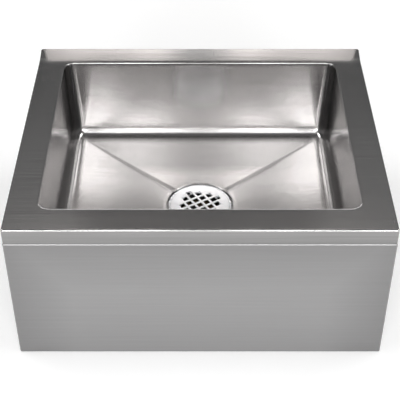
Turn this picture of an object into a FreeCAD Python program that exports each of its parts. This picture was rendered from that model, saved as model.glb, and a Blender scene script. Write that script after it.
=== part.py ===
import FreeCAD, Part
import math
import os
from types import SimpleNamespace

import Sketcher

# Floor-standing stainless sink: a bowl in a flat rim, carried by a skirt of bent sheet.
# Millimetres, +Z up, front towards -Y, origin on the floor under the middle of the skirt.

doc = FreeCAD.newDocument("floor_sink")
dims = doc.addObject("Spreadsheet::Sheet", "Dims")

# Driving dimensions: alias, value, what it measures
DRIVING = [
    ("rim_width", 610.0, "rim across the side lips"),
    ("rim_depth", 520.0, "rim from the front lip to the back lip"),
    ("rim_height", 276.0, "flat top of the rim above the floor"),
    ("sheet", 1.5, "stainless sheet"),
    ("lip_height", 28.0, "turned-down lip of the rim"),
    ("bend", 2.5, "outside radius of a bend"),
    ("edge_ease", 2.0, "ground radius of the rim's welded side edges"),
    ("ledge_run", 30.0, "swept-up back edge, front to back"),
    ("ledge_rise", 7.2, "swept-up back edge, height gained"),
    ("ledge_sweep", 220.0, "radius of the sweep into the back edge"),
    ("rim_side", 49.0, "flat rim beside the bowl"),
    ("rim_front", 51.0, "flat rim in front of the bowl"),
    ("rim_back", 42.5, "rim behind the bowl"),
    ("bowl_corner", 20.0, "corner radius of the bowl"),
    ("cove_ease", 0.5, "how much tighter the cove between walls and floor is than a corner"),
    ("collar", 6.0, "depth of the rim's turned edge round the bowl"),
    ("edge_roll", 2.6, "radius of that turned edge"),
    ("bowl_depth", 160.0, "rim top to the edge of the bowl floor"),
    ("wall_lean", 5.5, "how far a bowl wall leans in over its height"),
    ("fall_margin", 3.0, "level border of the bowl floor outside its fall"),
    ("floor_fall", 12.0, "fall of the bowl floor to the drain"),
    ("seat_drop", 3.0, "drain seat below the end of the fall"),
    ("seat_radius", 62.5, "pressed seat round the drain"),
    ("crease_end_x", 43.0, "end of a floor crease beside the drain's middle"),
    ("crease_end_y", 35.0, "end of a floor crease in front of or behind the drain's middle"),
    ("panel_proud", 1.2, "skirt standing out past the rim's lip"),
    ("panel_return", 30.0, "front and back panels turned round the corner"),
    ("top_flange", 14.0, "skirt turned in under the lip"),
    ("base_flange", 25.0, "skirt turned in on the floor"),
    ("channel_width", 30.0, "rim stiffener, width"),
    ("channel_depth", 18.0, "rim stiffener, depth"),
    ("front_channel_length", 480.0, "front rim stiffener"),
    ("side_channel_length", 380.0, "side rim stiffeners"),
    ("plate_leg", 84.0, "corner anchor plate, leg"),
    ("plate_tip", 20.0, "corner anchor plate, blunt end of a leg"),
    ("plate_thick", 3.0, "corner anchor plate, thickness"),
    ("plate_gap", 1.0, "corner anchor plate to skirt"),
    ("anchor_inset", 40.0, "anchor hole from the outside of the skirt"),
    ("anchor_bore", 10.0, "anchor hole"),
    ("pad_length", 96.0, "damping pad down the fall"),
    ("pad_width", 120.0, "damping pad across the fall"),
    ("pad_thick", 3.0, "damping pad, thickness"),
    ("pad_start", 26.0, "damping pad from the top of the fall"),
    ("flange_radius", 59.0, "drain flange"),
    ("flange_thick", 3.0, "drain flange, thickness"),
    ("flange_ease", 1.6, "bevelled rim of the drain flange"),
    ("barrel_radius", 45.0, "drain barrel outside"),
    ("barrel_length", 50.0, "drain barrel below the flange"),
    ("drain_bore", 36.0, "drain barrel inside, radius"),
    ("pipe_radius", 30.15, "two inch drain pipe outside, radius"),
    ("pipe_clearance", 1.05, "pipe to the drain's foot and nut"),
    ("gasket_grip", 0.15, "pipe to the compression gasket before tightening"),
    ("foot_thick", 6.0, "inner foot of the drain barrel"),
    ("thread_clearance", 0.3, "between screwed pieces"),
    ("hole_clearance", 1.0, "drain barrel in the bowl's hole"),
    ("seal_thick", 1.0, "flange seal"),
    ("seal_inset", 0.8, "flange seal short of the flange's rim"),
    ("washer_thick", 3.0, "rubber washer"),
    ("fibre_thick", 1.2, "fibre washer"),
    ("washer_radius", 58.0, "rubber washer outside"),
    ("nut_radius", 54.0, "drain locknut outside"),
    ("nut_thick", 10.0, "drain locknut"),
    ("nut_lug", 4.0, "locknut lug, height"),
    ("nut_lug_width", 14.0, "locknut lug, width"),
    ("gasket_height", 18.0, "compression gasket"),
    ("caulk_height", 10.0, "caulk nut"),
    ("caulk_notch", 6.0, "caulk nut notch"),
    ("strainer_thick", 1.9, "strainer plate"),
    ("strainer_radius", 54.0, "strainer plate, radius"),
    ("strainer_ease", 0.7, "bevelled edge of the strainer plate"),
    ("strainer_clearance", 0.5, "strainer in its recess"),
    ("strainer_gap", 0.3, "strainer above its ledge"),
    ("grid_pitch", 14.3, "strainer holes, centre to centre"),
    ("grid_hole", 9.0, "strainer hole, side"),
    ("slot_reach", 43.0, "strainer slot end from the middle"),
    ("grid_turn", 31.6, "turn of the strainer's grid, degrees"),
    ("screw_pocket", 3.2, "screw pocket in the drain's ledge, radius"),
    ("screw_circle", 39.8, "screw pockets from the middle"),
    ("screw_depth", 12.0, "screw pocket, depth"),
]

for row, (alias, value, note) in enumerate(DRIVING, start=1):
    dims.set("A%d" % row, note)
    dims.set("B%d" % row, str(value))
    dims.setAlias("B%d" % row, alias)
doc.recompute()


class Size:
    """A number together with the sheet expression that it came from."""

    def __init__(self, value, text):
        self.value = value
        self.text = text

    def __add__(self, other):
        other = as_size(other)
        return Size(self.value + other.value, "(%s + %s)" % (self.text, other.text))

    def __sub__(self, other):
        other = as_size(other)
        return Size(self.value - other.value, "(%s - %s)" % (self.text, other.text))

    def __mul__(self, other):
        other = as_size(other)
        return Size(self.value * other.value, "(%s * %s)" % (self.text, other.text))

    def __truediv__(self, other):
        other = as_size(other)
        return Size(self.value / other.value, "(%s / %s)" % (self.text, other.text))

    def __neg__(self):
        return self * -1


def as_size(thing):
    if isinstance(thing, Size):
        return thing
    return Size(float(thing), "(%s)" % float(thing))


d = SimpleNamespace(**{alias: Size(value, "Dims." + alias) for alias, value, note in DRIVING})
ZERO = as_size(0)

# Turns a wedge's own Y axis to point down and its own Z axis to the back
WEDGE_DOWN = FreeCAD.Rotation(FreeCAD.Vector(1, 0, 0), -90)

# Places that several pieces share
half_width = d.rim_width / 2
half_depth = d.rim_depth / 2
skirt_half_width = half_width + d.panel_proud
skirt_half_depth = half_depth + d.panel_proud
skirt_top = d.rim_height - d.lip_height
under_rim = d.rim_height - d.sheet
inner_bend = d.bend - d.sheet
bowl_half_width = half_width - d.rim_side
bowl_front = d.rim_front - half_depth
bowl_back = half_depth - d.rim_back
drain_y = (bowl_front + bowl_back) / 2
bowl_half_depth = (bowl_back - bowl_front) / 2
bowl_top = d.rim_height - d.collar
floor_edge = d.rim_height - d.bowl_depth
bowl_cove = d.bowl_corner - d.cove_ease
fall_half_width = bowl_half_width - d.wall_lean - bowl_cove - d.fall_margin
fall_half_depth = bowl_half_depth - d.wall_lean - bowl_cove - d.fall_margin
fall_end = floor_edge - d.floor_fall
drain_seat = fall_end - d.seat_drop
seat_underside = drain_seat - d.sheet
flange_bottom = drain_seat + d.seal_thick
hole_radius = d.barrel_radius + d.hole_clearance

bodies = []


def new_body(label):
    body = doc.addObject("PartDesign::Body", label)
    body.Label = label
    bodies.append(body)
    return body


def place(thing, x=ZERO, y=ZERO, z=ZERO):
    for axis, size in (("x", x), ("y", y), ("z", z)):
        thing.setExpression("Placement.Base." + axis, size.text)


def new_sketch(body, role, level=ZERO):
    """A sketch on one of the body's own origin planes, raised along its normal by level."""
    sketch = body.newObject("Sketcher::SketchObject", body.Label + "_sketch")
    plane = next(item for item in body.Origin.OriginFeatures if item.Role == role)
    sketch.AttachmentSupport = (plane, [""])
    sketch.MapMode = "FlatFace"
    sketch.setExpression("AttachmentOffset.Base.z", level.text)
    return sketch


def bind(sketch, constraint, size):
    """Add a dimension to a sketch and tie it to the sheet."""
    index = sketch.addConstraint(constraint)
    name = "size_%d" % index
    sketch.renameConstraint(index, name)
    sketch.setExpression("Constraints." + name, size.text)


def pin_point(sketch, point, x, y):
    """Hold a sketch point at x, y."""
    for kind, size, axis in (("DistanceX", x, -2), ("DistanceY", y, -1)):
        if abs(size.value) < 1e-9:
            sketch.addConstraint(Sketcher.Constraint("PointOnObject", point, 1, axis))
        else:
            bind(sketch, Sketcher.Constraint(kind, -1, 1, point, 1, size.value), size)


def outline(sketch, corners):
    """Close a polygon through (x, y) corners, given anticlockwise; (x, y, radius) rounds that corner."""
    spots = [FreeCAD.Vector(corner[0].value, corner[1].value, 0) for corner in corners]
    count = len(corners)
    leave = []
    reach = []
    arcs = []
    for here in range(count):
        back = (spots[here - 1] - spots[here]).normalize()
        ahead = (spots[(here + 1) % count] - spots[here]).normalize()
        if len(corners[here]) == 2:
            leave.append(spots[here])
            reach.append(spots[here])
            arcs.append(None)
            continue
        radius = corners[here][2].value
        half_angle = back.getAngle(ahead) / 2
        run = radius / math.tan(half_angle)
        middle = spots[here] + (back + ahead).normalize() * (radius / math.sin(half_angle))
        reach.append(spots[here] + back * run)
        leave.append(spots[here] + ahead * run)
        turns_left = ahead.cross(back).z > 0
        first, last = (reach[-1], leave[-1]) if turns_left else (leave[-1], reach[-1])
        start = math.atan2(first.y - middle.y, first.x - middle.x)
        end = math.atan2(last.y - middle.y, last.x - middle.x)
        circle = Part.Circle(middle, FreeCAD.Vector(0, 0, 1), radius)
        arcs.append((Part.ArcOfCircle(circle, start, end), turns_left))
    lines = [sketch.addGeometry(Part.LineSegment(leave[here], reach[(here + 1) % count]))
             for here in range(count)]
    for here, corner in enumerate(corners):
        before, after = lines[here - 1], lines[here]
        point = sketch.addGeometry(Part.Point(spots[here]), True)
        pin_point(sketch, point, corner[0], corner[1])
        if arcs[here] is None:
            sketch.addConstraint(Sketcher.Constraint("Coincident", before, 2, point, 1))
            sketch.addConstraint(Sketcher.Constraint("Coincident", after, 1, point, 1))
            continue
        shape, turns_left = arcs[here]
        arc = sketch.addGeometry(shape)
        start, end = (1, 2) if turns_left else (2, 1)
        sketch.addConstraint(Sketcher.Constraint("PointOnObject", point, 1, before))
        sketch.addConstraint(Sketcher.Constraint("PointOnObject", point, 1, after))
        sketch.addConstraint(Sketcher.Constraint("Tangent", before, 2, arc, start))
        sketch.addConstraint(Sketcher.Constraint("Tangent", after, 1, arc, end))
        bind(sketch, Sketcher.Constraint("Radius", arc, corner[2].value), corner[2])


def rectangle(left, right, low, high, radius=None):
    corners = [(left, low), (right, low), (right, high), (left, high)]
    return corners if radius is None else [corner + (radius,) for corner in corners]


def ring(sketch, radius, x=ZERO, y=ZERO):
    """A circle in a sketch, radius and middle tied to the sheet."""
    middle = FreeCAD.Vector(x.value, y.value, 0)
    circle = sketch.addGeometry(Part.Circle(middle, FreeCAD.Vector(0, 0, 1), radius.value))
    bind(sketch, Sketcher.Constraint("Radius", circle, radius.value), radius)
    point = sketch.addGeometry(Part.Point(middle), True)
    pin_point(sketch, point, x, y)
    sketch.addConstraint(Sketcher.Constraint("Coincident", circle, 3, point, 1))


def pull(body, kind, sketch, length, symmetric=False, backwards=False):
    """Pad or Pocket a sketch; the change of volume shows that it pointed the right way."""
    before = body.Shape.Volume if body.Tip else 0.0
    feature = body.newObject("PartDesign::" + kind, "%s_%s" % (body.Label, kind.lower()))
    feature.Profile = sketch
    feature.SideType = "Symmetric" if symmetric else "One side"
    feature.Reversed = backwards
    feature.setExpression("Length", length.text)
    doc.recompute()
    gained = body.Shape.Volume - before
    if (gained <= 0) if kind == "Pad" else (gained >= 0):
        raise RuntimeError("%s of %s changed nothing" % (kind, body.Label))
    return feature


def frustum(body, middle_y, high, wide_high, deep_high, low, wide_low, deep_low):
    """A block with four sloping flat sides, between a high and a low level; wide and deep are half sizes."""
    feature = body.newObject("PartDesign::AdditiveWedge", body.Label + "_frustum")
    feature.Placement = FreeCAD.Placement(FreeCAD.Vector(0, 0, 0), WEDGE_DOWN)
    for name, size in (
        ("Ymin", -high),
        ("Ymax", -low),
        ("Xmin", -wide_high),
        ("Xmax", wide_high),
        ("X2min", -wide_low),
        ("X2max", wide_low),
        ("Zmin", middle_y - deep_high),
        ("Zmax", middle_y + deep_high),
        ("Z2min", middle_y - deep_low),
        ("Z2max", middle_y + deep_low),
    ):
        feature.setExpression(name, size.text)
    doc.recompute()


def spin(body, sketch):
    feature = body.newObject("PartDesign::Revolution", body.Label + "_turned")
    feature.Profile = sketch
    feature.ReferenceAxis = (sketch, ["V_Axis"])
    feature.Angle = 360
    doc.recompute()
    return feature


def around(body, feature, count):
    """Repeat a feature round the body's own Z axis."""
    pattern = body.newObject("PartDesign::PolarPattern", body.Label + "_pattern")
    axis = next(item for item in body.Origin.OriginFeatures if item.Role == "Z_Axis")
    pattern.Originals = [feature]
    pattern.Axis = (axis, [""])
    pattern.Angle = 360
    pattern.Occurrences = count
    body.Tip = pattern
    doc.recompute()


def ease(body, radius, chosen):
    """Round every edge of the body's tip that chosen(edge) accepts."""
    base = body.Tip
    names = ["Edge%d" % number for number, edge in enumerate(base.Shape.Edges, start=1) if chosen(edge)]
    feature = body.newObject("PartDesign::Fillet", body.Label + "_fillet")
    feature.Base = (base, names)
    feature.setExpression("Radius", radius.text)
    doc.recompute()


def near(first, second):
    return abs(first - second) < 0.01


def flat_at(edge, level):
    """True for an edge that lies in the horizontal plane at level."""
    box = edge.BoundBox
    return near(box.ZMin, level.value) and near(box.ZMax, level.value)


# Rim

def make_rim_deck():
    body = new_body("rim_deck")

    def section(inset, front_bend, ledge_bend, sweep, low):
        high = d.rim_height - inset
        slope_drop = d.ledge_rise * inset / d.ledge_run
        return [
            (inset - half_depth, low),
            (half_depth - inset, low),
            (half_depth - inset, high + d.ledge_rise - slope_drop, ledge_bend),
            (half_depth - d.ledge_run, high, sweep),
            (inset - half_depth, high, front_bend),
        ]

    outside = new_sketch(body, "YZ_Plane")
    outline(outside, section(ZERO, d.bend, d.bend, d.ledge_sweep, skirt_top))
    pull(body, "Pad", outside, d.rim_width, symmetric=True)
    ease(body, d.edge_ease, lambda edge: near(abs(edge.CenterOfMass.x), half_width.value)
         and edge.BoundBox.XLength < 0.01 and edge.CenterOfMass.z > skirt_top.value + 0.01)
    inside = new_sketch(body, "YZ_Plane")
    outline(inside, section(d.sheet, inner_bend, inner_bend, d.ledge_sweep + d.sheet, skirt_top - d.sheet))
    pull(body, "Pocket", inside, d.rim_width - d.sheet * 2, symmetric=True)
    collar = new_sketch(body, "XY_Plane", bowl_top)
    outline(collar, rectangle(-bowl_half_width - d.sheet, bowl_half_width + d.sheet, bowl_front - d.sheet,
                              bowl_back + d.sheet, d.bowl_corner + d.sheet))
    pull(body, "Pad", collar, d.collar - d.sheet / 2)
    opening = new_sketch(body, "XY_Plane", bowl_top)
    outline(opening, rectangle(-bowl_half_width, bowl_half_width, bowl_front, bowl_back, d.bowl_corner))
    pull(body, "Pocket", opening, d.collar + d.ledge_rise, backwards=True)

    def rolled(edge):
        box = edge.BoundBox
        inside_rim = box.XMax < bowl_half_width.value + 0.01 and box.YMax < bowl_back.value + 0.01
        inside_rim = inside_rim and box.XMin > -bowl_half_width.value - 0.01
        inside_rim = inside_rim and box.YMin > bowl_front.value - 0.01
        return inside_rim and box.ZMin > d.rim_height.value - 0.01

    ease(body, d.edge_roll, rolled)


# Bowl

def make_bowl_form(label, skin):
    """The bowl as a full block: skin 0 is the room inside it, skin of one sheet is its outside."""
    body = doc.addObject("PartDesign::Body", label)
    body.Label = label

    low = floor_edge - skin
    wide, deep = bowl_half_width + skin, bowl_half_depth + skin
    frustum(body, drain_y, bowl_top, wide, deep, low, wide - d.wall_lean, deep - d.wall_lean)
    ease(body, d.bowl_corner + skin,
         lambda edge: not flat_at(edge, bowl_top) and not flat_at(edge, low))
    ease(body, bowl_cove + skin, lambda edge: flat_at(edge, low))
    frustum(body, drain_y, low, fall_half_width, fall_half_depth, fall_end - skin, d.crease_end_x,
            d.crease_end_y)
    seat = new_sketch(body, "XY_Plane", drain_seat - skin)
    ring(seat, d.seat_radius + skin, ZERO, drain_y)
    pull(body, "Pad", seat, d.seat_drop + d.floor_fall / 2)
    return body


def make_bowl():
    outside = make_bowl_form("bowl_outside", d.sheet)
    inside = make_bowl_form("bowl_inside", ZERO)
    hole = new_sketch(inside, "XY_Plane", seat_underside - d.sheet)
    ring(hole, hole_radius, ZERO, drain_y)
    pull(inside, "Pad", hole, d.sheet * 3)
    bowl = doc.addObject("Part::Cut", "bowl")
    bowl.Label = "bowl"
    bowl.Base = outside
    bowl.Tool = inside
    doc.recompute()
    bodies.append(bowl)


# Skirt

def skirt_section(outside, top_flange, base_flange, inwards):
    """A bent panel seen end on: upright at outside, both flanges turned inwards (+1 or -1)."""
    skin = d.sheet * inwards
    corners = [
        (outside, ZERO, d.bend),
        (outside + base_flange * inwards, ZERO),
        (outside + base_flange * inwards, d.sheet),
        (outside + skin, d.sheet, inner_bend),
        (outside + skin, skirt_top - d.sheet, inner_bend),
        (outside + top_flange * inwards, skirt_top - d.sheet),
        (outside + top_flange * inwards, skirt_top),
        (outside, skirt_top, d.bend),
    ]
    return corners if inwards > 0 else corners[::-1]


def make_end_panel(label, side):
    """Front (side -1) or back (side +1) panel: a tray bent round all four edges, its flanges cut short."""
    body = new_body(label)
    outside = skirt_half_depth * side
    tip = outside - d.panel_return * side
    inner_half = skirt_half_width - d.sheet

    def strip(half, level, near_y):
        low, high = (near_y, tip) if side < 0 else (tip, near_y)
        sketch = new_sketch(body, "XY_Plane", level)
        outline(sketch, rectangle(-half, half, low, high))
        return sketch

    def upright_at(place_y):
        return lambda edge: near(edge.BoundBox.YMin, place_y.value) and near(edge.BoundBox.YMax, place_y.value)

    pull(body, "Pad", strip(skirt_half_width, ZERO, outside), skirt_top)
    ease(body, d.bend, upright_at(outside))
    hollow = new_sketch(body, "XZ_Plane", -tip)
    outline(hollow, rectangle(-inner_half, inner_half, d.sheet, skirt_top - d.sheet))
    pull(body, "Pocket", hollow, d.panel_return - d.sheet, backwards=side < 0)
    ease(body, inner_bend, upright_at(outside - d.sheet * side))
    pull(body, "Pocket", strip(inner_half, ZERO, outside - d.base_flange * side), d.sheet, backwards=True)
    pull(body, "Pocket", strip(inner_half, skirt_top - d.sheet, outside - d.top_flange * side), d.sheet,
         backwards=True)


def make_side_panel(label, side):
    """Left (side -1) or right (side +1) panel, butted between the front and back panels."""
    body = new_body(label)
    section = new_sketch(body, "XZ_Plane")
    outline(section, skirt_section(skirt_half_width * side, d.top_flange, d.base_flange, -side))
    pull(body, "Pad", section, (skirt_half_depth - d.panel_return) * 2, symmetric=True)


def make_anchor_plate(label, side_x, side_y):
    """A corner plate on the floor flanges, with a hole for a floor anchor."""
    body = new_body(label)
    corner_x = (skirt_half_width - d.sheet - d.plate_gap) * side_x
    corner_y = (skirt_half_depth - d.sheet - d.plate_gap) * side_y
    corners = [
        (corner_x, corner_y),
        (corner_x - d.plate_leg * side_x, corner_y),
        (corner_x - d.plate_leg * side_x, corner_y - d.plate_tip * side_y),
        (corner_x - d.plate_tip * side_x, corner_y - d.plate_leg * side_y),
        (corner_x, corner_y - d.plate_leg * side_y),
    ]
    sketch = new_sketch(body, "XY_Plane", d.sheet)
    outline(sketch, corners if side_x * side_y > 0 else corners[::-1])
    ring(sketch, d.anchor_bore / 2, (skirt_half_width - d.anchor_inset) * side_x,
         (skirt_half_depth - d.anchor_inset) * side_y)
    pull(body, "Pad", sketch, d.plate_thick)


def make_rim_channel(label, plane, middle, length):
    """A stiffener welded under the rim, open side down, seen end on in plane."""
    body = new_body(label)
    half = d.channel_width / 2
    low = under_rim - d.channel_depth
    corners = [
        (middle - half, low),
        (middle - half + d.sheet, low),
        (middle - half + d.sheet, under_rim - d.sheet, inner_bend),
        (middle + half - d.sheet, under_rim - d.sheet, inner_bend),
        (middle + half - d.sheet, low),
        (middle + half, low),
        (middle + half, under_rim, d.bend),
        (middle - half, under_rim, d.bend),
    ]
    sketch = new_sketch(body, plane)
    outline(sketch, corners)
    pull(body, "Pad", sketch, length, symmetric=True)


def make_sound_pad(label, side):
    """A damping pad lying against the underside of the sloping floor."""
    body = new_body(label)
    outer = fall_half_width - d.pad_start
    inner = outer - d.pad_length
    slope = d.floor_fall / (fall_half_width - d.crease_end_x)
    outer_top = floor_edge - d.sheet - slope * d.pad_start
    inner_top = outer_top - slope * d.pad_length
    corners = [
        (inner * side, inner_top - d.pad_thick),
        (outer * side, outer_top - d.pad_thick),
        (outer * side, outer_top),
        (inner * side, inner_top),
    ]
    sketch = new_sketch(body, "XZ_Plane", -drain_y)
    outline(sketch, corners if side > 0 else corners[::-1])
    pull(body, "Pad", sketch, d.pad_width, symmetric=True)


# Drain

def turned_ring(label, inside, outside, low, thick):
    """A plain ring about the drain's axis."""
    body = new_body(label)
    sketch = new_sketch(body, "XZ_Plane")
    outline(sketch, rectangle(inside, outside, ZERO, thick))
    spin(body, sketch)
    place(body, ZERO, drain_y, low)
    return body


def turn_grid(body):
    body.Placement.Rotation = FreeCAD.Rotation(FreeCAD.Vector(0, 0, 1), d.grid_turn.value)
    body.setExpression("Placement.Rotation.Angle", d.grid_turn.text + " * 1 deg")


def make_drain_body():
    body = new_body("drain_body")
    recess = d.strainer_radius + d.strainer_clearance
    ledge = d.flange_thick - d.strainer_thick - d.strainer_gap
    foot_bore = d.pipe_radius + d.pipe_clearance
    sketch = new_sketch(body, "XZ_Plane")
    outline(sketch, [
        (foot_bore, -d.barrel_length),
        (d.barrel_radius, -d.barrel_length),
        (d.barrel_radius, ZERO),
        (d.flange_radius, ZERO),
        (d.flange_radius, d.flange_thick - d.flange_ease),
        (d.flange_radius - d.flange_ease, d.flange_thick),
        (recess, d.flange_thick),
        (recess, ledge),
        (d.drain_bore, ledge),
        (d.drain_bore, d.foot_thick - d.barrel_length),
        (foot_bore, d.foot_thick - d.barrel_length),
    ])
    spin(body, sketch)
    pocket = new_sketch(body, "XY_Plane", ledge)
    ring(pocket, d.screw_pocket, d.screw_circle, ZERO)
    around(body, pull(body, "Pocket", pocket, d.screw_depth), 4)
    turn_grid(body)
    place(body, ZERO, drain_y, flange_bottom)


def make_strainer_grid():
    """The loose plate: five by five square holes less the corners, four of them run out into slots."""
    body = new_body("strainer_grid")
    disc = new_sketch(body, "XZ_Plane")
    outline(disc, [
        (ZERO, ZERO),
        (d.strainer_radius, ZERO),
        (d.strainer_radius, d.strainer_thick - d.strainer_ease),
        (d.strainer_radius - d.strainer_ease, d.strainer_thick),
        (ZERO, d.strainer_thick),
    ])
    spin(body, disc)
    half = d.grid_hole / 2
    holes = new_sketch(body, "XY_Plane")
    for column in range(-2, 3):
        for line in range(-2, 3):
            corner = abs(column) == 2 and abs(line) == 2
            slotted = (abs(column) == 2 and line == 0) or (abs(line) == 2 and column == 0)
            if corner or slotted:
                continue
            x, y = d.grid_pitch * column, d.grid_pitch * line
            outline(holes, rectangle(x - half, x + half, y - half, y + half))
    pull(body, "Pocket", holes, d.strainer_thick, backwards=True)
    slot = new_sketch(body, "XY_Plane")
    outline(slot, rectangle(d.grid_pitch * 2 - half, d.slot_reach, -half, half))
    around(body, pull(body, "Pocket", slot, d.strainer_thick, backwards=True), 4)
    turn_grid(body)
    place(body, ZERO, drain_y, flange_bottom + d.flange_thick - d.strainer_thick)


def make_drain_fittings():
    bore_fit = d.drain_bore - d.thread_clearance
    barrel_fit = d.barrel_radius + d.thread_clearance
    turned_ring("flange_seal", hole_radius, d.flange_radius - d.seal_inset, drain_seat, d.seal_thick)
    under = seat_underside - d.washer_thick
    turned_ring("rubber_washer", barrel_fit, d.washer_radius, under, d.washer_thick)
    under = under - d.fibre_thick
    turned_ring("fibre_washer", barrel_fit, d.nut_radius, under, d.fibre_thick)
    under = under - d.nut_thick
    nut = turned_ring("drain_locknut", barrel_fit, d.nut_radius, under, d.nut_thick)
    lug = new_sketch(nut, "XY_Plane")
    outline(lug, rectangle(d.nut_radius - d.nut_lug, d.nut_radius + d.nut_lug, -d.nut_lug_width / 2,
                           d.nut_lug_width / 2))
    around(nut, pull(nut, "Pad", lug, d.nut_thick), 6)
    low = flange_bottom - d.barrel_length + d.foot_thick
    turned_ring("compression_gasket", d.pipe_radius + d.gasket_grip, bore_fit, low, d.gasket_height)
    low = low + d.gasket_height
    caulk = turned_ring("caulk_nut", d.pipe_radius + d.pipe_clearance, bore_fit, low, d.caulk_height)
    notch = new_sketch(caulk, "XY_Plane", d.caulk_height / 2)
    outline(notch, rectangle(d.pipe_radius, d.drain_bore, -d.caulk_notch / 2, d.caulk_notch / 2))
    around(caulk, pull(caulk, "Pocket", notch, d.caulk_height, backwards=True), 6)


make_rim_deck()
make_bowl()
make_end_panel("front_apron", -1)
make_end_panel("back_panel", 1)
make_side_panel("left_side_panel", -1)
make_side_panel("right_side_panel", 1)
side_rim_middle = (half_width - d.sheet + bowl_half_width + d.sheet) / 2
front_rim_middle = -(half_depth - d.sheet - bowl_front + d.sheet) / 2
make_rim_channel("front_rim_channel", "YZ_Plane", front_rim_middle, d.front_channel_length)
make_rim_channel("left_rim_channel", "XZ_Plane", -side_rim_middle, d.side_channel_length)
make_rim_channel("right_rim_channel", "XZ_Plane", side_rim_middle, d.side_channel_length)
for side_y, row_name in ((-1, "front"), (1, "back")):
    for side_x, column_name in ((-1, "left"), (1, "right")):
        make_anchor_plate("anchor_plate_%s_%s" % (row_name, column_name), side_x, side_y)
make_sound_pad("left_sound_pad", -1)
make_sound_pad("right_sound_pad", 1)
make_drain_body()
make_strainer_grid()
make_drain_fittings()

doc.recompute()
for item in doc.Objects:
    if "Invalid" in item.State or "Error" in item.State:
        raise RuntimeError("%s did not build: %s" % (item.Label, item.State))
for body in bodies:
    if body.Shape.isNull() or not body.Shape.isValid() or len(body.Shape.Solids) != 1:
        raise RuntimeError("%s is not one sound solid" % body.Label)

os.makedirs("parts", exist_ok=True)
for body in bodies:
    body.Shape.exportStep("parts/%s.step" % body.Label)
    box = body.Shape.BoundBox
    print("%-26s %9.1f mm3  x %.2f..%.2f  y %.2f..%.2f  z %.2f..%.2f" % (
        body.Label, body.Shape.Volume, box.XMin, box.XMax, box.YMin, box.YMax, box.ZMin, box.ZMax))
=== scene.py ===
import math

import bmesh
import bpy
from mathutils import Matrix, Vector


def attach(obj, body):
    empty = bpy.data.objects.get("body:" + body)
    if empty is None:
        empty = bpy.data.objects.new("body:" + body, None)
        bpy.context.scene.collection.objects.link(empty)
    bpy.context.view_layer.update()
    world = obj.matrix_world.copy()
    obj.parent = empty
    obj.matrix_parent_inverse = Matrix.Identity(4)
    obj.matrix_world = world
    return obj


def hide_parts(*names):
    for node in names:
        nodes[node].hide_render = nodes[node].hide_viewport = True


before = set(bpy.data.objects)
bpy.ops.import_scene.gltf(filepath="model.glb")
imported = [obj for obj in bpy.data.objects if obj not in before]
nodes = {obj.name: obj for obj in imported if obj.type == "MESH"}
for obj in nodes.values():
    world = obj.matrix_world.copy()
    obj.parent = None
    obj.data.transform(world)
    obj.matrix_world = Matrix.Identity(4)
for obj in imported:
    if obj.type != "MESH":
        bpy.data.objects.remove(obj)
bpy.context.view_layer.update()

MM = 0.001

# Sizes are in millimetres. They are those of the solids, but for the rim's width, ledge and rolled opening,
# the pressed creases and the strainer's holes, which follow the photograph more closely.

# Sheet: its thickness, the outer radius of a bend, and how far beside a bend a loop holds the flat
SHEET, BEND, BESIDE_BEND = 1.5, 2.5, 0.4
BEND_STEPS, INNER_BEND_STEPS = 6, 3

# Stations along a side and round a corner of the rim, the bowl and the end panels
ALONG_X, ALONG_Y, ROUND_CORNER = 44, 48, 16

# Rim
RIM_HALF_X, RIM_HALF_Y, RIM_TOP, RIM_CORNER = 306.0, 260.0, 276.0, 3.5
LIP_BOTTOM = RIM_TOP - 28.0
TOP_STEPS, UNDERSIDE_STEPS = 28, 6
# Swept-up back edge: where its arc starts, the arc's radius, and the slopes where the arc and the face end
LEDGE_START, LEDGE_SWEEP, LEDGE_LOW_DEG, LEDGE_HIGH_DEG = 212.0, 90.0, 9.1, 10.2
# Its mitred ends: a point on the mitre, how the mitre leans, and how fast the sheet falls away past it
MITRE_X, MITRE_Y, MITRE_LEAN, MITRE_FALL = 287.5, 218.0, 0.31, 0.14

# Bowl: its opening, the roll and corner round it, the lean of the walls and the cove at their foot
BOWL_HALF_X, BOWL_HALF_Y, BOWL_Y = 256.0, 213.25, 4.25
BOWL_TOP, FLOOR_EDGE = RIM_TOP - 6.0, RIM_TOP - 160.0
EDGE_ROLL, BOWL_CORNER, BOWL_CORNER_LOW = 1.6, 20.0, 24.0
WALL_LEAN, COVE = 5.5, 20.5
WALL_STEPS, COVE_STEPS, FLOOR_STEPS = 10, 14, 24
# Bowl floor: how far it falls, where the fall starts and where the creases end
FALL, FALL_HALF_X, FALL_HALF_Y = 12.0, BOWL_HALF_X - 28.0, BOWL_HALF_Y - 28.0
CREASE_END_X, CREASE_END_Y = 43.0, 35.0
# Creases: the pressed step, its width at the wall and at the drain, and half the fan of a corner there
CREASE_STEP, CREASE_NARROW, CREASE_WIDE, CREASE_FAN_DEG = 0.3, 3.0, 16.0, 6.0
# Drain seat: its height and radius, the hole in it, and the rolls at the top and the foot of its wall
SEAT, SEAT_RADIUS, HOLE_RADIUS = FLOOR_EDGE - 15.0, 60.0, 46.0
SEAT_TOP_ROLL, SEAT_FOOT_ROLL = 1.4, 0.6
TOP_ROLL_STEPS, FOOT_ROLL_STEPS = 4, 3

# Skirt
SKIRT_HALF_X, SKIRT_HALF_Y = RIM_HALF_X + 0.2, RIM_HALF_Y + 1.2
TOP_FLANGE, BASE_FLANGE, PANEL_RETURN, PANEL_CORNER = 14.0, 25.0, 30.0, 0.2

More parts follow.
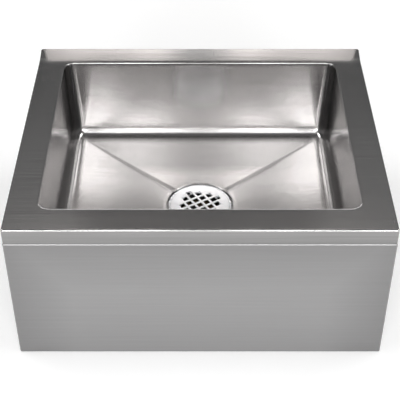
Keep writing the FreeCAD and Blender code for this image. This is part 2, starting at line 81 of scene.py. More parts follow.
# Strainer: its plate, and its turned grid of square holes, so many to each side of the middle
STRAINER_RADIUS, STRAINER_LOW, STRAINER_TOP, STRAINER_EASE = 54.3, SEAT + 2.1, SEAT + 4.0, 0.2
STRAINER_SIDES, EASE_STEPS = 128, 2
GRID_PITCH, GRID_HOLE, GRID_REACH, SLOT_REACH, GRID_TURN = 14.3, 10.2, 2, 43.0, math.radians(31.6)

# Painted shade, at its darkest: on the rim's lips and round its opening, along the bowl's creases, in its
# upright corners and at the foot of its back and front walls, and at the sides and the top of the end panels
LIP_SHADE, OPENING_SHADE = 0.85, 0.4
CREASE_SHADE, CORNER_SHADE, FOOT_SHADE = 0.75, 0.9, 0.6
SIDE_SHADE, TOP_SHADE = 0.4, 0.32
# Where that fades: in shares of a bend, in shares of a crease's width and length, in degrees of a corner,
# in millimetres under, over and along the foot of a wall, and in millimetres from a panel's edges
LIP_LEAD = 0.2
CREASE_HARD, CREASE_SOFT, CREASE_OVER, CREASE_RAMP = 0.3, 0.8, 1.3, 0.25
CORNER_FADE_DEG = 15.0
FOOT_DROP, FOOT_RISE, FOOT_SIDE = 1.0, 2.0, 12.0
MARGIN, FACE_TOLERANCE = 100.0, 0.05
MARGIN_LOOPS = (100.0, 75.0, 50.0, 25.0, 10.0)


# Mesh helpers

def finish_mesh(name, mesh, sharp_deg=40.0):
    """Outward normals, smooth faces split at sharp edges, and a UV map with U along the grain, in metres."""
    work = bmesh.new()
    work.from_mesh(mesh)
    bmesh.ops.remove_doubles(work, verts=work.verts, dist=1e-7)
    bmesh.ops.recalc_face_normals(work, faces=work.faces)
    grain = work.loops.layers.uv.new("grain")
    for face in work.faces:
        face.smooth = True
        side, front, up = (abs(part) for part in face.normal)
        for corner in face.loops:
            x, y, z = corner.vert.co
            if side > front and side > up:
                corner[grain].uv = (y, z)
            elif front > up:
                corner[grain].uv = (x, z)
            else:
                corner[grain].uv = (x, y)
    work.to_mesh(mesh)
    work.free()
    mesh.set_sharp_from_angle(angle=math.radians(sharp_deg))
    mesh.update()
    piece = bpy.data.objects.new(name, mesh)
    bpy.context.scene.collection.objects.link(piece)
    return piece


def paint_shade(piece, how_shaded):
    """Stores how much painted shade darkens the sheet at each point, for the brushed materials."""
    painted_shade = piece.data.attributes.new("painted_shade", "FLOAT", "POINT")
    for vertex, mark in zip(piece.data.vertices, painted_shade.data):
        mark.value = how_shaded(*(value / MM for value in vertex.co))


def loops_to_mesh(name, loops, closed=True, caps=False):
    """Quads between neighbouring loops of points in millimetres; caps closes the first and last loop."""
    count = len(loops[0])
    points = [tuple(value * MM for value in point) for loop in loops for point in loop]
    faces = []
    last = len(loops) if closed else len(loops) - 1
    for row in range(last):
        here, there = row * count, ((row + 1) % len(loops)) * count
        for column in range(count):
            after = (column + 1) % count
            faces.append((here + column, here + after, there + after, there + column))
    if caps:
        faces.append(tuple(range(count)))
        faces.append(tuple(range(len(points) - count, len(points)))[::-1])
    mesh = bpy.data.meshes.new(name)
    mesh.from_pydata(points, [], faces)
    return mesh


def spread(first, last, count):
    """Even steps from first up to last, which is left out."""
    return [first + (last - first) * step / count for step in range(count)]


def crowd(first, last, count):
    """Steps from first up to last that crowd towards both ends; last is left out."""
    return [first + (last - first) * (0.5 - 0.5 * math.cos(math.pi * step / count)) for step in range(count)]


def quarter(steps):
    """Angles from 0 to a right angle."""
    return [math.pi / 2 * step / steps for step in range(steps + 1)]


def ease_in(share):
    """A smooth step from 0 to 1."""
    share = min(1.0, max(0.0, share))
    return share * share * (3.0 - 2.0 * share)


def between(first, last, share):
    """Stations that lie a share of the way from those of first to those of last."""
    return [(x + (to_x - x) * share, y + (to_y - y) * share) for (x, y), (to_x, to_y) in zip(first, last)]


def outline(half_x, half_y, middle_y, radius):
    """Stations round a rectangle with rounded corners, anticlockwise from the front left."""
    flat_x, flat_y = half_x - radius, half_y - radius
    stations = []

    def corner(sign_x, sign_y, start):
        for turn in spread(start, start + 90.0, ROUND_CORNER):
            angle = math.radians(turn)
            stations.append((sign_x * flat_x + radius * math.cos(angle),
                             middle_y + sign_y * flat_y + radius * math.sin(angle)))

    stations += [(x, middle_y - half_y) for x in crowd(-flat_x, flat_x, ALONG_X)]
    corner(1, -1, -90.0)
    stations += [(half_x, middle_y + y) for y in crowd(-flat_y, flat_y, ALONG_Y)]
    corner(1, 1, 0.0)
    stations += [(x, middle_y + half_y) for x in crowd(flat_x, -flat_x, ALONG_X)]
    corner(-1, 1, 90.0)
    stations += [(-half_x, middle_y + y) for y in crowd(flat_y, -flat_y, ALONG_Y)]
    corner(-1, -1, 180.0)
    return stations


# Rim

LOW_SLOPE, HIGH_SLOPE = math.tan(math.radians(LEDGE_LOW_DEG)), math.tan(math.radians(LEDGE_HIGH_DEG))
SWEEP_END = LEDGE_START + LEDGE_SWEEP * math.sin(math.radians(LEDGE_LOW_DEG))
SWEEP_RISE = LEDGE_SWEEP * (1.0 - math.cos(math.radians(LEDGE_LOW_DEG)))


def ledge(y):
    """How far the rim is swept up at y: an arc, then a face that grows a little steeper."""
    if y <= LEDGE_START:
        return 0.0
    if y < SWEEP_END:
        return LEDGE_SWEEP - math.sqrt(LEDGE_SWEEP ** 2 - (y - LEDGE_START) ** 2)
    run = y - SWEEP_END
    grow = (HIGH_SLOPE - LOW_SLOPE) / (RIM_HALF_Y - SWEEP_END)
    return SWEEP_RISE + run * LOW_SLOPE + run * run * grow / 2


def rise(x, y):
    """The same with its mitred ends, where the sheet falls away towards the side edges."""
    past = abs(x) - (MITRE_X + (y - MITRE_Y) * MITRE_LEAN)
    return max(0.0, ledge(y) - MITRE_FALL * max(0.0, past))


def lip_shade_mark(x, y, z):
    """Painted shade on the rim: its turned-down lips are painted darker than its top, and the edge of its
    opening is painted darker over its highlight.
    """
    inside = abs(x) < BOWL_HALF_X + EDGE_ROLL and abs(y - BOWL_Y) < BOWL_HALF_Y + EDGE_ROLL
    top = RIM_TOP + rise(x, y)
    return (OPENING_SHADE if inside else LIP_SHADE) * ease_in((top - z - EDGE_ROLL) / BEND + LIP_LEAD)


def make_rim():
    """A sheet from the rolled opening over the top to the turned-down lips, and back underneath."""
    loops = []

    def at_opening(out):
        return outline(BOWL_HALF_X + out, BOWL_HALF_Y + out, BOWL_Y, BOWL_CORNER + out)

    def at_edge(inset):
        return outline(RIM_HALF_X - inset, RIM_HALF_Y - inset, 0.0, RIM_CORNER - inset)

    def add(stations, z, lifted=True):
        loops.append([(x, y, z + (rise(x, y) if lifted else 0.0)) for x, y in stations])

    def across(first, last, z, steps):
        for step in range(1, steps):
            add(between(first, last, step / steps), z)

    roll_z, bend_z, under = RIM_TOP - EDGE_ROLL, RIM_TOP - BEND, RIM_TOP - SHEET
    inner_roll, inner_bend = EDGE_ROLL - SHEET, BEND - SHEET
    add(at_opening(0.0), BOWL_TOP, lifted=False)
    for angle in quarter(BEND_STEPS):
        add(at_opening(EDGE_ROLL * (1 - math.cos(angle))), roll_z + EDGE_ROLL * math.sin(angle))
    first, last = at_opening(EDGE_ROLL + BESIDE_BEND), at_edge(BEND + BESIDE_BEND)
    add(first, RIM_TOP)
    across(first, last, RIM_TOP, TOP_STEPS)
    add(last, RIM_TOP)
    for angle in quarter(BEND_STEPS):
        add(at_edge(BEND * (1 - math.sin(angle))), bend_z + BEND * math.cos(angle))
    add(at_edge(0.0), bend_z - BESIDE_BEND)
    add(at_edge(0.0), LIP_BOTTOM, lifted=False)
    add(at_edge(SHEET), LIP_BOTTOM, lifted=False)
    for angle in quarter(INNER_BEND_STEPS):
        add(at_edge(BEND - inner_bend * math.cos(angle)), bend_z + inner_bend * math.sin(angle))
    across(last, first, under, UNDERSIDE_STEPS)
    for angle in quarter(INNER_BEND_STEPS):
        add(at_opening(EDGE_ROLL - inner_roll * math.sin(angle)), roll_z + inner_roll * math.cos(angle))
    add(at_opening(SHEET), BOWL_TOP, lifted=False)
    piece = finish_mesh("rim", loops_to_mesh("rim", loops))
    paint_shade(piece, lip_shade_mark)
    return piece


# Bowl

RUN_X, RUN_Y = FALL_HALF_X - CREASE_END_X, FALL_HALF_Y - CREASE_END_Y
WALL_SLOPE = WALL_LEAN / (BOWL_TOP - FLOOR_EDGE)


def fall_share(x, y):
    """0 at the edge of the bowl floor and 1 at the drain."""
    far_x, far_y = FALL_HALF_X - abs(x), FALL_HALF_Y - abs(y - BOWL_Y)
    return min(1.0, max(0.0, min(far_x / RUN_X, far_y / RUN_Y)))


def past_crease(x, y):
    """Where x, y lies across the nearest crease: 0 on its back or front side and 1 on its left or right."""
    far_x, far_y = abs(x) - CREASE_END_X, abs(y - BOWL_Y) - CREASE_END_Y
    off = (far_x * RUN_Y - far_y * RUN_X) / math.hypot(RUN_X, RUN_Y)
    wide = CREASE_NARROW + (CREASE_WIDE - CREASE_NARROW) * fall_share(x, y)
    return off / wide + 0.5


def floor_drop(x, y):
    """How far the bowl floor has fallen at x, y: four flat faces that meet in pressed creases."""
    share = fall_share(x, y)
    return FALL * share - CREASE_STEP * ease_in(share) * ease_in(past_crease(x, y))


def crease_shade_mark(x, y):
    """Painted shade along a crease: 1 along it, with a hard side and a soft side, and 0 away from it and at
    the wall.
    """
    past = past_crease(x, y)
    sides = ease_in(past / CREASE_HARD + 0.5) * ease_in((CREASE_OVER - past) / CREASE_SOFT)
    return sides * ease_in(fall_share(x, y) / CREASE_RAMP)


def corner_shade_mark(over_x, over_y, z):
    """Painted shade in an upright corner: 1 there, fading towards its two walls and down its cove."""
    if over_x <= 0.0 or over_y <= 0.0:
        return 0.0
    turn = math.degrees(math.atan2(over_y, over_x))
    across = ease_in(turn / CORNER_FADE_DEG) * ease_in((90.0 - CORNER_FADE_DEG - turn) / CORNER_FADE_DEG)
    return across * ease_in((z - FLOOR_EDGE) / COVE)


def foot_shade_mark(over_x, over_y, z):
    """Painted shade where the back or the front wall meets the floor: 1 there, fading up, down and towards
    the corners.
    """
    height = z - FLOOR_EDGE
    across = ease_in(1.0 + height / FOOT_DROP) * ease_in(1.5 - height / FOOT_RISE)
    return across * ease_in(1.0 + over_y / FOOT_SIDE) * ease_in(-over_x / FOOT_SIDE)


def bowl_shade_mark(x, y, z):
    """Painted shade in the bowl: along its creases, in its upright corners, and at the foot of two walls."""
    inset = WALL_SLOPE * (BOWL_TOP - z) + BOWL_CORNER_LOW
    over_x, over_y = abs(x) - (BOWL_HALF_X - inset), abs(y - BOWL_Y) - (BOWL_HALF_Y - inset)
    return max(CREASE_SHADE * crease_shade_mark(x, y), CORNER_SHADE * corner_shade_mark(over_x, over_y, z),
               FOOT_SHADE * foot_shade_mark(over_x, over_y, z))


def seat_ring(radius):
    """Stations round the drain that line up with the bowl's: its corners lead to the creases."""
    diagonal = math.degrees(math.atan2(CREASE_END_Y, CREASE_END_X))
    corners = (-180.0 + diagonal, -diagonal, diagonal, 180.0 - diagonal, 180.0 + diagonal)
    turns = []
    for start, end, count in zip(corners, corners[1:], (ALONG_X, ALONG_Y, ALONG_X, ALONG_Y)):
        turns += crowd(start + CREASE_FAN_DEG, end - CREASE_FAN_DEG, count)
        turns += spread(end - CREASE_FAN_DEG, end + CREASE_FAN_DEG, ROUND_CORNER)
    return [(radius * math.cos(math.radians(turn)), BOWL_Y + radius * math.sin(math.radians(turn)))
            for turn in turns]


def bowl_skin(skin):
    """The bowl's loops from the top edge to the drain hole; skin is 0 inside and one sheet outside."""
    loops = []
    cove = COVE + skin
    tilt = math.atan(WALL_SLOPE)
    low = FLOOR_EDGE - skin
    corner_in = WALL_LEAN - skin + WALL_SLOPE * skin
    middle_in = corner_in + cove * math.tan(math.pi / 4 - tilt / 2)
    middle_z = low + cove
    wall_end = middle_in - cove * math.cos(tilt)
    wall_end_z = middle_z - cove * math.sin(tilt)

    def wall(inwards, radius, z):
        stations = outline(BOWL_HALF_X - inwards, BOWL_HALF_Y - inwards, BOWL_Y, radius)
        loops.append([(x, y, z) for x, y in stations])

    for step in range(WALL_STEPS):
        share = step / WALL_STEPS
        wall(-skin + (wall_end + skin) * share, BOWL_CORNER + skin + (BOWL_CORNER_LOW - BOWL_CORNER) * share,
             BOWL_TOP + (wall_end_z - BOWL_TOP) * share)
    for step in range(COVE_STEPS + 1):
        angle = tilt + (math.pi / 2 - tilt) * step / COVE_STEPS
        inwards = middle_in - cove * math.cos(angle)
        wall(inwards, BOWL_CORNER_LOW + skin - (inwards - wall_end), middle_z - cove * math.sin(angle))

    floor_edge = [(x, y) for x, y, z in loops[-1]]
    seat_wall = SEAT_RADIUS + skin
    seat_edge = seat_ring(seat_wall + SEAT_TOP_ROLL + SEAT_FOOT_ROLL)
    for step in range(1, FLOOR_STEPS + 1):
        stations = between(floor_edge, seat_edge, step / FLOOR_STEPS)
        loops.append([(x, y, low - floor_drop(x, y)) for x, y in stations])

    tops = [z for x, y, z in loops[-1]]
    seat = SEAT - skin
    for angle in quarter(TOP_ROLL_STEPS)[1:]:
        ring = seat_ring(seat_wall + SEAT_FOOT_ROLL + SEAT_TOP_ROLL * (1 - math.sin(angle)))
        loops.append([(x, y, top - SEAT_TOP_ROLL * (1 - math.cos(angle))) for (x, y), top in zip(ring, tops)])
    for angle in quarter(FOOT_ROLL_STEPS):
        ring = seat_ring(seat_wall + SEAT_FOOT_ROLL * math.cos(angle))
        loops.append([(x, y, seat + SEAT_FOOT_ROLL * (1 - math.sin(angle))) for x, y in ring])
    loops.append([(x, y, seat) for x, y in seat_ring(HOLE_RADIUS)])
    return loops


def make_bowl():
    """The inside from the opening down to the drain hole, and the outside back up."""
    loops = bowl_skin(0.0) + bowl_skin(SHEET)[::-1]
    piece = finish_mesh("basin", loops_to_mesh("basin", loops))
    paint_shade(piece, bowl_shade_mark)
    return piece


# Skirt

def margin_shade_mark(x, y, z):
    """Painted shade on an end panel: on its outer face, darker towards the top and the sides."""
    if abs(y) < SKIRT_HALF_Y - FACE_TOLERANCE:
        return 0.0
    from_side, from_top = SKIRT_HALF_X - abs(x), LIP_BOTTOM - z
    return max(0.0, SIDE_SHADE * (1.0 - from_side / MARGIN), TOP_SHADE * (1.0 - from_top / MARGIN))


def make_end_panel(name, side):
    """A tray bent round its four edges; side is -1 at the front and 1 at the back."""
    loops = []
    middle = LIP_BOTTOM / 2
    inner = BEND - SHEET

    def stations(inset):
        corner = PANEL_CORNER + max(0.0, BEND - inset)
        return outline(SKIRT_HALF_X - inset, middle - inset, middle, corner)

    def add(inset, depth):
        loops.append([(x, side * (SKIRT_HALF_Y - depth), z) for x, z in stations(inset)])

    def flange_depth(x, z, inset):
        if abs(abs(x) - (SKIRT_HALF_X - inset)) <= BEND:
            return PANEL_RETURN
        return TOP_FLANGE if z > middle else BASE_FLANGE

    def add_flange_edge(inset):
        loops.append([(x, side * (SKIRT_HALF_Y - flange_depth(x, z, inset)), z) for x, z in stations(inset)])

    for inset in MARGIN_LOOPS:
        add(inset, 0.0)
    add(BEND + 3 * BESIDE_BEND, 0.0)
    add(BEND + BESIDE_BEND, 0.0)
    for angle in quarter(BEND_STEPS):
        add(BEND * (1 - math.sin(angle)), BEND * (1 - math.cos(angle)))
    add(0.0, BEND + BESIDE_BEND)
    add_flange_edge(0.0)
    add_flange_edge(SHEET)
    add(SHEET, BEND + BESIDE_BEND)
    for angle in quarter(INNER_BEND_STEPS):
        add(BEND - inner * math.cos(angle), BEND - inner * math.sin(angle))
    add(BEND + BESIDE_BEND, SHEET)
    add(BEND + 3 * BESIDE_BEND, SHEET)
    piece = finish_mesh(name, loops_to_mesh(name, loops, closed=False, caps=True))
    paint_shade(piece, margin_shade_mark)
    return piece


def make_side_panel(name, side):
    """A bent panel between the front and back panels; side is -1 on the left and 1 on the right."""
    section = []

    def arc(x, z, radius, start, end, steps):
        for step in range(steps + 1):
            angle = math.radians(start + (end - start) * step / steps)
            section.append((x + radius * math.cos(angle), z + radius * math.sin(angle)))

    top, out, inner = LIP_BOTTOM, SKIRT_HALF_X, BEND - SHEET
    section.append((out - BASE_FLANGE, 0.0))
    section.append((out - BEND - BESIDE_BEND, 0.0))
    arc(out - BEND, BEND, BEND, -90, 0, BEND_STEPS)
    section.append((out, BEND + BESIDE_BEND))
    section.append((out, top - BEND - BESIDE_BEND))
    arc(out - BEND, top - BEND, BEND, 0, 90, BEND_STEPS)
    section.append((out - BEND - BESIDE_BEND, top))
    section.append((out - TOP_FLANGE, top))
    section.append((out - TOP_FLANGE, top - SHEET))
    arc(out - BEND, top - BEND, inner, 90, 0, INNER_BEND_STEPS)
    arc(out - BEND, BEND, inner, 0, -90, INNER_BEND_STEPS)
    section.append((out - BASE_FLANGE, SHEET))
    end = SKIRT_HALF_Y - PANEL_RETURN
    loops = [[(side * x, y, z) for x, z in section] for y in (-end, end)]
    return finish_mesh(name, loops_to_mesh(name, loops, closed=False, caps=True))


# Strainer

def make_strainer():
    """A filled curve with square holes, given its thickness and eased edges, and made a mesh."""
    curve = bpy.data.curves.new("strainer_outline", "CURVE")
    curve.dimensions = "2D"
    curve.fill_mode = "BOTH"
    curve.extrude = ((STRAINER_TOP - STRAINER_LOW) / 2 - STRAINER_EASE) * MM
    curve.bevel_depth = STRAINER_EASE * MM
    curve.bevel_resolution = EASE_STEPS

    def closed(points):
        spline = curve.splines.new("POLY")
        spline.points.add(len(points) - 1)
        for spot, (x, y) in zip(spline.points, points):
            spot.co = (x * MM, y * MM, 0.0, 1.0)
        spline.use_cyclic_u = True

    def turned(x, y):
        return (x * math.cos(GRID_TURN) - y * math.sin(GRID_TURN),
                x * math.sin(GRID_TURN) + y * math.cos(GRID_TURN))

    edge = STRAINER_RADIUS - STRAINER_EASE
    turns = spread(0.0, 2 * math.pi, STRAINER_SIDES)
    closed([(edge * math.cos(turn), edge * math.sin(turn)) for turn in turns])
    half = GRID_HOLE / 2 + STRAINER_EASE
    reach = SLOT_REACH + STRAINER_EASE
    for column in range(-GRID_REACH, GRID_REACH + 1):
        for row in range(-GRID_REACH, GRID_REACH + 1):
            end_column, end_row = abs(column) == GRID_REACH, abs(row) == GRID_REACH
            if end_column and end_row:
                continue
            left, right = column * GRID_PITCH - half, column * GRID_PITCH + half
            low, high = row * GRID_PITCH - half, row * GRID_PITCH + half
            if row == 0 and end_column:
                left, right = (-reach, right) if column < 0 else (left, reach)
            if column == 0 and end_row:
                low, high = (-reach, high) if row < 0 else (low, reach)
            closed([turned(x, y) for x, y in ((left, low), (left, high), (right, high), (right, low))])
    holder = bpy.data.objects.new("strainer_outline", curve)
    bpy.context.scene.collection.objects.link(holder)
    depsgraph = bpy.context.evaluated_depsgraph_get()
    mesh = bpy.data.meshes.new_from_object(holder.evaluated_get(depsgraph))
    bpy.data.objects.remove(holder)
    mesh.name = "strainer"
    shift = Vector((0.0, BOWL_Y, (STRAINER_LOW + STRAINER_TOP) / 2)) * MM
    for vertex in mesh.vertices:
        vertex.co += shift
    return finish_mesh("strainer", mesh)


# Materials

# Noise mostly lies between these values, which colours, roughness and bump are spread over
NOISE_LOW, NOISE_HIGH, NOISE_ROUGHNESS = 0.3, 0.7, 0.6
# Streaks: features per metre along and across the grain, their detail, and what each kind adds to the tint
FINE_STREAKS, BROAD_STREAKS, STREAK_DETAIL, STREAK_TINT = (6.0, 700.0), (3.0, 220.0), 4.0, (0.2, 0.3)
# A quarter turn, so that the highlight spreads across the grain
ACROSS_GRAIN = 0.25
# Mottling: its detail, and features per metre and detail on the drain
MOTTLE_DETAIL, DRAIN_MOTTLING = 6.0, (80.0, 5.0)
# Depth of streaks and mottling in metres, at full strength
STREAK_DEPTH, MOTTLE_DEPTH = 0.00006, 0.0003
# Brightness of the sheet under the darkest painted shade, and how much roughness varies on sheet and, as a
# share, elsewhere
DARKEST_SHADE, SHEET_ROUGH_SPREAD, ROUGH_SPREAD = 0.4, 0.015, 0.15
# Heights between which the drain goes from painted shade, near black, down inside it to chrome, and the tint
# at both
DRAIN_SHADE_TOP, CHROME_LOW = (SEAT + 0.5) * MM, (SEAT + 2.0) * MM
DRAIN_SHADE_TINT, CHROME_TINT = 0.2, 0.8


def new_material(name):
    material = bpy.data.materials.new(name)
    material.use_nodes = True
    tree = material.node_tree
    shader = tree.nodes["Principled BSDF"]
    return material, tree, shader


def node(tree, kind, **inputs):
    """A new node with the given values on its sockets; an underscore stands for a space."""
    made = tree.nodes.new(kind)
    for name, value in inputs.items():
        made.inputs[name.replace("_", " ")].default_value = value
    return made


def streaks(tree, vector, along, across):
    """Noise stretched along the grain: along and across are features per metre."""
    mapping = node(tree, "ShaderNodeMapping", Scale=(along, across, along))
    tree.links.new(vector, mapping.inputs["Vector"])
    noise = node(tree, "ShaderNodeTexNoise", Scale=1.0, Detail=STREAK_DETAIL, Roughness=NOISE_ROUGHNESS)
    tree.links.new(mapping.outputs["Vector"], noise.inputs["Vector"])
    return noise.outputs["Fac"]


def mottling(tree, place, scale, detail):
    """Even noise in the piece's own frame: scale is features per metre."""
    noise = node(tree, "ShaderNodeTexNoise", Scale=scale, Detail=detail, Roughness=NOISE_ROUGHNESS)
    tree.links.new(place.outputs["Object"], noise.inputs["Vector"])
    return noise.outputs["Fac"]


def ranged(tree, value, low, high, from_low=NOISE_LOW, from_high=NOISE_HIGH):
    """The value, spread from its own range over low to high."""
    made = node(tree, "ShaderNodeMapRange", From_Min=from_low, From_Max=from_high, To_Min=low, To_Max=high)
    tree.links.new(value, made.inputs["Value"])
    return made.outputs["Result"]


def tinted(tree, value, dark, light):
    """A colour between dark and light, by the value."""
    ramp = tree.nodes.new("ShaderNodeValToRGB")
    for stop, position, colour in zip(ramp.color_ramp.elements, (NOISE_LOW, NOISE_HIGH), (dark, light)):
        stop.position = position
        stop.color = (*colour, 1.0)
    tree.links.new(value, ramp.inputs["Fac"])
    return ramp.outputs["Color"]


def bumped(tree, shader, height, strength, depth):
    bump = node(tree, "ShaderNodeBump", Strength=strength, Distance=depth)
    tree.links.new(height, bump.inputs["Height"])
    tree.links.new(bump.outputs["Normal"], shader.inputs["Normal"])


def brushed(name, dark, light, rough, anisotropy, streak_bump):
    """Brushed sheet: long fine streaks in colour, roughness and bump, and a highlight spread across them.
    Where the mesh has a painted shade mark, the sheet is painted darker there."""
    material, tree, shader = new_material(name)
    uv = tree.nodes.new("ShaderNodeUVMap")
    uv.uv_map = "grain"
    fine = streaks(tree, uv.outputs["UV"], *FINE_STREAKS)
    broad = streaks(tree, uv.outputs["UV"], *BROAD_STREAKS)
    mixed = tree.nodes.new("ShaderNodeMath")
    mixed.operation = "ADD"
    tree.links.new(ranged(tree, fine, *STREAK_TINT), mixed.inputs[0])
    tree.links.new(ranged(tree, broad, *STREAK_TINT), mixed.inputs[1])
    # Painted shade: the mark read here darkens the base colour
    shade_mark = tree.nodes.new("ShaderNodeAttribute")
    shade_mark.attribute_name = "painted_shade"
    shade = tree.nodes.new("ShaderNodeVectorMath")
    shade.operation = "SCALE"
    tree.links.new(tinted(tree, mixed.outputs["Value"], dark, light), shade.inputs[0])
    tree.links.new(ranged(tree, shade_mark.outputs["Fac"], 1.0, DARKEST_SHADE, 0.0, 1.0), shade.inputs["Scale"])
    tree.links.new(shade.outputs["Vector"], shader.inputs["Base Color"])
    roughness = ranged(tree, fine, rough - SHEET_ROUGH_SPREAD, rough + SHEET_ROUGH_SPREAD)
    tree.links.new(roughness, shader.inputs["Roughness"])
    shader.inputs["Metallic"].default_value = 1.0
    shader.inputs["Anisotropic"].default_value = anisotropy
    shader.inputs["Anisotropic Rotation"].default_value = ACROSS_GRAIN
    tangent = tree.nodes.new("ShaderNodeTangent")
    tangent.direction_type = "UV_MAP"
    tangent.uv_map = "grain"
    tree.links.new(tangent.outputs["Tangent"], shader.inputs["Tangent"])
    bumped(tree, shader, fine, streak_bump, STREAK_DEPTH)
    return material


def plain(name, dark, light, rough, metallic, scale, bump_strength):
    """A material without grain, with a mottled colour, roughness and surface."""
    material, tree, shader = new_material(name)
    mottle = mottling(tree, tree.nodes.new("ShaderNodeTexCoord"), scale, MOTTLE_DETAIL)
    tree.links.new(tinted(tree, mottle, dark, light), shader.inputs["Base Color"])
    roughness = ranged(tree, mottle, (1.0 - ROUGH_SPREAD) * rough, (1.0 + ROUGH_SPREAD) * rough)
    tree.links.new(roughness, shader.inputs["Roughness"])
    shader.inputs["Metallic"].default_value = metallic
    bumped(tree, shader, mottle, bump_strength, MOTTLE_DEPTH)
    return material


def drain_metal(name, dark, light, rough_low, rough_high):
    """Chrome on the face of the drain, and painted shade down inside it, where the metal is painted near
    black.
    """
    material, tree, shader = new_material(name)
    place = tree.nodes.new("ShaderNodeTexCoord")
    split = tree.nodes.new("ShaderNodeSeparateXYZ")
    tree.links.new(place.outputs["Object"], split.inputs["Vector"])
    face = ranged(tree, split.outputs["Z"], DRAIN_SHADE_TINT, CHROME_TINT, DRAIN_SHADE_TOP, CHROME_LOW)
    tree.links.new(tinted(tree, face, dark, light), shader.inputs["Base Color"])
    roughness = ranged(tree, mottling(tree, place, *DRAIN_MOTTLING), rough_low, rough_high)
    tree.links.new(roughness, shader.inputs["Roughness"])
    shader.inputs["Metallic"].default_value = 1.0
    return material


# Brushed sheet: dark and light colour, roughness, anisotropy, bump
rim_steel = brushed("rim_steel", (0.41, 0.406, 0.403), (0.70, 0.694, 0.690), 0.15, 0.3, 0.002)
bowl_steel = brushed("bowl_steel", (0.45, 0.440, 0.436), (0.71, 0.695, 0.690), 0.20, 0.82, 0.003)
# The skirt is the same steel as the rim and bowl, painted darker: painted shade.
shaded_skirt_steel = brushed("shaded_skirt_steel", (0.292, 0.289, 0.290), (0.352, 0.349, 0.350), 0.34, 0.3, 0.015)
# The rest: dark and light colour, roughness, metallic, features per metre, bump
chrome = plain("chrome", (0.90, 0.91, 0.93), (0.95, 0.955, 0.96), 0.36, 1.0, 60.0, 0.001)
mill_steel = plain("mill_steel", (0.36, 0.36, 0.36), (0.46, 0.46, 0.46), 0.5, 1.0, 90.0, 0.1)
pad_rubber = plain("pad_rubber", (0.05, 0.05, 0.055), (0.09, 0.09, 0.095), 0.75, 0.0, 220.0, 0.4)
black_rubber = plain("black_rubber", (0.02, 0.02, 0.02), (0.045, 0.045, 0.045), 0.6, 0.0, 300.0, 0.2)
fibre = plain("fibre", (0.30, 0.19, 0.13), (0.45, 0.30, 0.21), 0.8, 0.0, 900.0, 0.4)
# The brass is painted near black: painted shade down inside the drain, seen through the strainer's holes.
shaded_brass = plain("shaded_brass", (0.07, 0.05, 0.03), (0.16, 0.12, 0.06), 0.5, 1.0, 120.0, 0.06)
drain_chrome = drain_metal("drain_metal", (0.04, 0.04, 0.04), (0.86, 0.87, 0.89), 0.22, 0.30)


# Pieces on their bodies

def dress(piece, material):
    piece.data.materials.clear()
    piece.data.materials.append(material)


def stand_for(piece, body, node_name, material):
    """Dresses a piece made here and puts it in the place of a solid."""
    dress(piece, material)
    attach(piece, body)
    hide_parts(node_name)


stand_for(make_rim(), "sink", "rim_deck", rim_steel)
stand_for(make_bowl(), "sink", "bowl", bowl_steel)
stand_for(make_end_panel("front_skirt", -1), "sink", "front_apron", shaded_skirt_steel)
stand_for(make_end_panel("back_skirt", 1), "sink", "back_panel", shaded_skirt_steel)
stand_for(make_side_panel("left_skirt", -1), "sink", "left_side_panel", shaded_skirt_steel)
stand_for(make_side_panel("right_skirt", 1), "sink", "right_side_panel", shaded_skirt_steel)
stand_for(make_strainer(), "strainer", "strainer_grid", chrome)
dress(nodes["drain_body"], drain_chrome)
for name in ("front_rim_channel", "left_rim_channel", "right_rim_channel", "anchor_plate_front_left",
             "anchor_plate_front_right", "anchor_plate_back_left", "anchor_plate_back_right"):
    dress(nodes[name], mill_steel)
for name in ("left_sound_pad", "right_sound_pad"):
    dress(nodes[name], pad_rubber)
for name in ("flange_seal", "rubber_washer", "compression_gasket"):
    dress(nodes[name], black_rubber)
dress(nodes["fibre_washer"], fibre)
for name in ("drain_locknut", "caulk_nut"):
    dress(nodes[name], shaded_brass)


# Stage, light and camera, in metres

FLOOR_REACH, FLOOR_Z, FLOOR_GLOW = 6.0, -0.0003, 0.2
# Sky: its strength low down and overhead, and the heights between which it fades, on a sphere of radius 1
SKY_LOW, SKY_HIGH, FADE_START, FADE_END = 0.5, 0.09, 0.2, 0.42
CAMERA_PLACE, CAMERA_DOWN_DEG, CAMERA_LENS, CAMERA_SENSOR = (0.0, -1.3937, 1.2819), 39.83, 89.28, 36.0
SINK_MIDDLE, PANEL_REACH = Vector((0.0, 0.0, 0.25)), 6.0
WHITE, ROSE = (1.0, 1.0, 1.0), (1.0, 0.94, 0.915)
# Panels on both sides: name, azimuth from and to, elevation from and to in degrees, brightness, colour
PANELS = (
    ("front_low_centre", 0, 6, 6, 14, 5.0, WHITE),
    ("front_low", 6, 25, 6, 14, 11.0, WHITE),
    ("front_side_low", 13, 25, 14, 24, 9.0, WHITE),
    ("front_side", 14, 25, 24, 34, 3.5, WHITE),
    ("front_inner", 3.5, 7, 18, 34, 9.0, WHITE),
    ("front_key", 3, 7.5, 34, 44, 6.5, WHITE),
    ("front_top", 0, 5, 46, 54, 2.2, WHITE),
    ("front_upper", 6, 14, 44, 54, 4.9, WHITE),
    ("side_high", 90, 135, 58, 68, 8.7, WHITE),
    ("side_front", 45, 90, 58, 68, 5.7, WHITE),
    ("back_low", 168, 180, 8, 20, 6.0, WHITE),
    ("back_side", 150, 168, 44, 52, 0.42, ROSE),
    ("back_side_low", 150, 168, 34, 44, 0.09, WHITE),
    ("back_wide", 162, 172, 50, 57, 3.3, ROSE),
    ("back_near", 172, 177, 50, 57, 4.3, ROSE),
    ("back_centre", 177, 180, 50, 57, 1.2, WHITE),
)


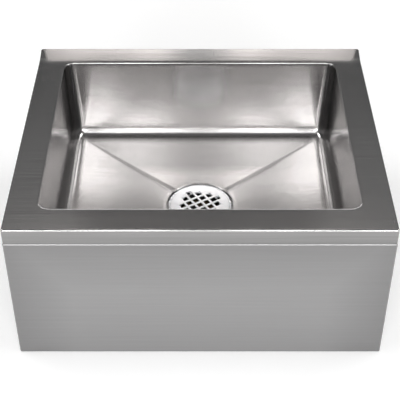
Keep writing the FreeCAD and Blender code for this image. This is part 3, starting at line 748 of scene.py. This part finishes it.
def make_stage():
    """A plain pale floor just under the sink."""
    corners = [(-1, -1), (1, -1), (1, 1), (-1, 1)]
    mesh = bpy.data.meshes.new("floor")
    mesh.from_pydata([(x * FLOOR_REACH, y * FLOOR_REACH, FLOOR_Z) for x, y in corners], [], [(0, 1, 2, 3)])
    floor = bpy.data.objects.new("floor", mesh)
    bpy.context.scene.collection.objects.link(floor)
    material, tree, shader = new_material("pale_floor")
    shader.inputs["Base Color"].default_value = (0.94, 0.94, 0.94, 1.0)
    shader.inputs["Roughness"].default_value = 0.9
    shader.inputs["Specular IOR Level"].default_value = 0.1
    shader.inputs["Emission Color"].default_value = (*WHITE, 1.0)
    shader.inputs["Emission Strength"].default_value = FLOOR_GLOW
    mesh.materials.append(material)


def make_panel(name, azimuth, elevation, width_deg, height_deg, brightness, colour):
    """A far softbox, so many degrees wide and high from the sink; azimuth 0 is the camera's side."""
    turn, lift = math.radians(azimuth), math.radians(elevation)
    away = Vector((math.sin(turn) * math.cos(lift), -math.cos(turn) * math.cos(lift), math.sin(lift)))
    width = 2.0 * PANEL_REACH * math.cos(lift) * math.tan(math.radians(width_deg / 2))
    height = 2.0 * PANEL_REACH * math.tan(math.radians(height_deg / 2))
    light = bpy.data.lights.new(name, "AREA")
    light.shape = "RECTANGLE"
    light.size, light.size_y = width, height
    light.energy = brightness * math.pi * width * height
    light.color = colour
    lamp = bpy.data.objects.new(name, light)
    bpy.context.scene.collection.objects.link(lamp)
    lamp.location = SINK_MIDDLE + PANEL_REACH * away
    lamp.rotation_euler = away.to_track_quat("Z", "Y").to_euler()
    lamp.visible_camera = False


def make_sky():
    """A white sky that is brighter low down than overhead."""
    world = bpy.context.scene.world or bpy.data.worlds.new("studio")
    bpy.context.scene.world = world
    world.use_nodes = True
    tree = world.node_tree
    backdrop = tree.nodes["Background"]
    backdrop.inputs["Color"].default_value = (*WHITE, 1.0)
    place = tree.nodes.new("ShaderNodeTexCoord")
    split = tree.nodes.new("ShaderNodeSeparateXYZ")
    tree.links.new(place.outputs["Generated"], split.inputs["Vector"])
    strength = ranged(tree, split.outputs["Z"], SKY_LOW, SKY_HIGH, FADE_START, FADE_END)
    tree.links.new(strength, backdrop.inputs["Strength"])


def make_camera():
    """A camera at the photograph's viewing angle, looking down over the front of the sink."""
    lens = bpy.data.cameras.new("camera")
    lens.sensor_width = CAMERA_SENSOR
    lens.lens = CAMERA_LENS
    lens.clip_start = 0.01
    camera = bpy.data.objects.new("camera", lens)
    bpy.context.scene.collection.objects.link(camera)
    camera.location = CAMERA_PLACE
    camera.rotation_euler = (math.radians(90.0 - CAMERA_DOWN_DEG), 0.0, 0.0)
    bpy.context.scene.camera = camera


make_stage()
for name, start, end, low, high, brightness, colour in PANELS:
    for side in (-1, 1):
        make_panel("%s_%d" % (name, side), side * (start + end) / 2, (low + high) / 2,
                   end - start, high - low, brightness, colour)
make_sky()
make_camera()
bpy.context.scene.view_settings.view_transform = "Standard"
